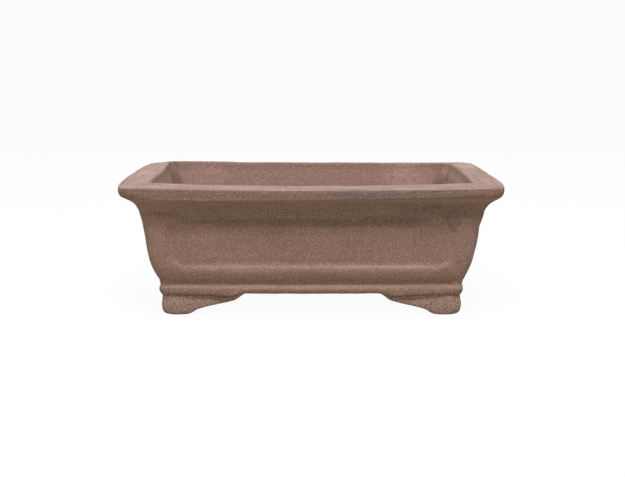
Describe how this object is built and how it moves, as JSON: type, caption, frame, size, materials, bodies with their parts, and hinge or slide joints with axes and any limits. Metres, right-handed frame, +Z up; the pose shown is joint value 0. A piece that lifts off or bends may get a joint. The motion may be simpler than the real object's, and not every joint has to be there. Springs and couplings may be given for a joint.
{
  "type": "bonsai pot",
  "caption": "Rectangular unglazed stoneware bonsai pot with a wide lip, recessed panels, a rounded belt, cloud feet and a drained floor.",
  "frame": {"origin": "on the table, under the middle of the pot", "axes": "+Z up, +X along the long side to the viewer's right when facing the front, front face towards -Y"},
  "size_m": [0.204, 0.13, 0.073],
  "materials": {
    "body_clay": "unglazed brown stoneware with fine pale grog",
    "lip_clay": "unglazed stoneware, rubbed paler and pinker on top",
    "foot_clay": "unglazed stoneware, coarser and more pitted"
  },
  "bodies": {
    "root": {"floor_slab": "body_clay", "front_wall": "body_clay", "back_wall": "body_clay", "left_wall": "body_clay", "right_wall": "body_clay", "front_lip": "lip_clay", "back_lip": "lip_clay", "left_lip": "lip_clay", "right_lip": "lip_clay", "front_belt": "body_clay", "back_belt": "body_clay", "left_belt": "body_clay", "right_belt": "body_clay", "foot_front_left": "foot_clay", "foot_front_right": "foot_clay", "foot_back_left": "foot_clay", "foot_back_right": "foot_clay"}
  },
  "joints": []
}
